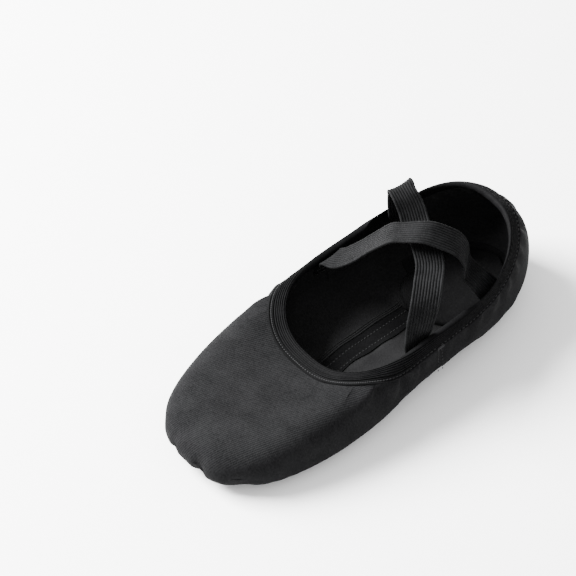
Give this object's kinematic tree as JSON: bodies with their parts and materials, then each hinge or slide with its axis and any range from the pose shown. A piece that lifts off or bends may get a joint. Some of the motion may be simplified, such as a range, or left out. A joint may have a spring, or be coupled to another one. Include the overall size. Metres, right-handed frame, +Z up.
{
  "type": "ballet slipper",
  "caption": "Soft split-sole canvas ballet slipper with a gathered toe, a ribbed elastic topline and crossed elastic instep straps.",
  "frame": {"origin": "middle of the footprint, on the floor", "axes": "toe along -Y, heel along +Y, +X the outer side of the left foot, +Z up"},
  "size_m": [0.0994, 0.2402, 0.0823],
  "materials": {
    "canvas": "matte",
    "lining": "matte",
    "elastic": "satin",
    "thread": "satin",
    "suede": "matte",
    "foam": "matte",
    "sock": "matte"
  },
  "bodies": {
    "arch": {"vamp_canvas_sides": "canvas", "vamp_canvas_flex_panel": "canvas", "quarter_canvas_sides": "canvas", "quarter_canvas_flex_panel": "canvas", "lining_arch": "lining", "lining_front_flex_panel": "lining", "lining_rear_flex_panel": "lining", "topline_binding_sides": "elastic", "hem_band_sides": "canvas", "hem_stitching_sides": "thread", "side_seam_threads": "thread", "side_seam_bartacks": "thread", "side_seam_inner_tapes": "lining", "strap_over_sewn_ends": "elastic", "strap_under_sewn_ends": "elastic", "strap_bartacks": "thread", "arch_canvas_underside": "canvas", "arch_lining_floor": "lining", "arch_seam_tape": "lining", "heel_pad_front": "sock", "arch_seam_cords": "thread"},
    "forefoot": {"vamp_canvas_toe": "canvas", "lining_toe": "lining", "topline_binding_throat": "elastic", "hem_band_throat": "canvas", "hem_stitching_throat": "thread", "front_sole_patch": "suede", "front_patch_stitching": "thread", "forefoot_foam": "foam", "forefoot_sock": "sock"},
    "heel": {"quarter_canvas_heel": "canvas", "lining_heel": "lining", "topline_binding_heel": "elastic", "hem_band_heel": "canvas", "hem_stitching_heel": "thread", "heel_back_seam_tape": "canvas", "heel_sole_patch": "suede", "heel_patch_stitching": "thread", "heel_foam": "foam", "heel_pad": "sock"},
    "strap_over": {"strap_over": "elastic"},
    "strap_under": {"strap_under": "elastic"}
  },
  "joints": [
    {"name": "forefoot_flex", "type": "hinge", "parent": "arch", "child": "forefoot", "pos_m": [0, -0.024, 0.005], "axis": [1, 0, 0], "range_deg": [-30, 25], "stiffness_Nm_per_rad": 0.8, "deforming": ["vamp_canvas_flex_panel", "lining_front_flex_panel", "topline_binding_throat", "hem_band_throat", "hem_stitching_throat"]},
    {"name": "heel_flex", "type": "hinge", "parent": "arch", "child": "heel", "pos_m": [0, 0.062, 0.005], "axis": [1, 0, 0], "range_deg": [-25, 15], "stiffness_Nm_per_rad": 0.8, "deforming": ["quarter_canvas_flex_panel", "lining_rear_flex_panel", "topline_binding_heel", "hem_band_heel", "hem_stitching_heel", "heel_pad_front"]},
    {"name": "strap_over_swing", "type": "hinge", "parent": "arch", "child": "strap_over", "pos_m": [-0.03873, 0.01585, 0.03876], "axis": [0.8338, 0.5513, 0.0297], "range_deg": [-4, 4], "stiffness_Nm_per_rad": 0.05},
    {"name": "strap_under_swing", "type": "hinge", "parent": "arch", "child": "strap_under", "pos_m": [0.03897, 0.01132, 0.03826], "axis": [-0.8056, 0.5912, 0.0374], "range_deg": [-4, 1.3], "stiffness_Nm_per_rad": 0.05}
  ]
}
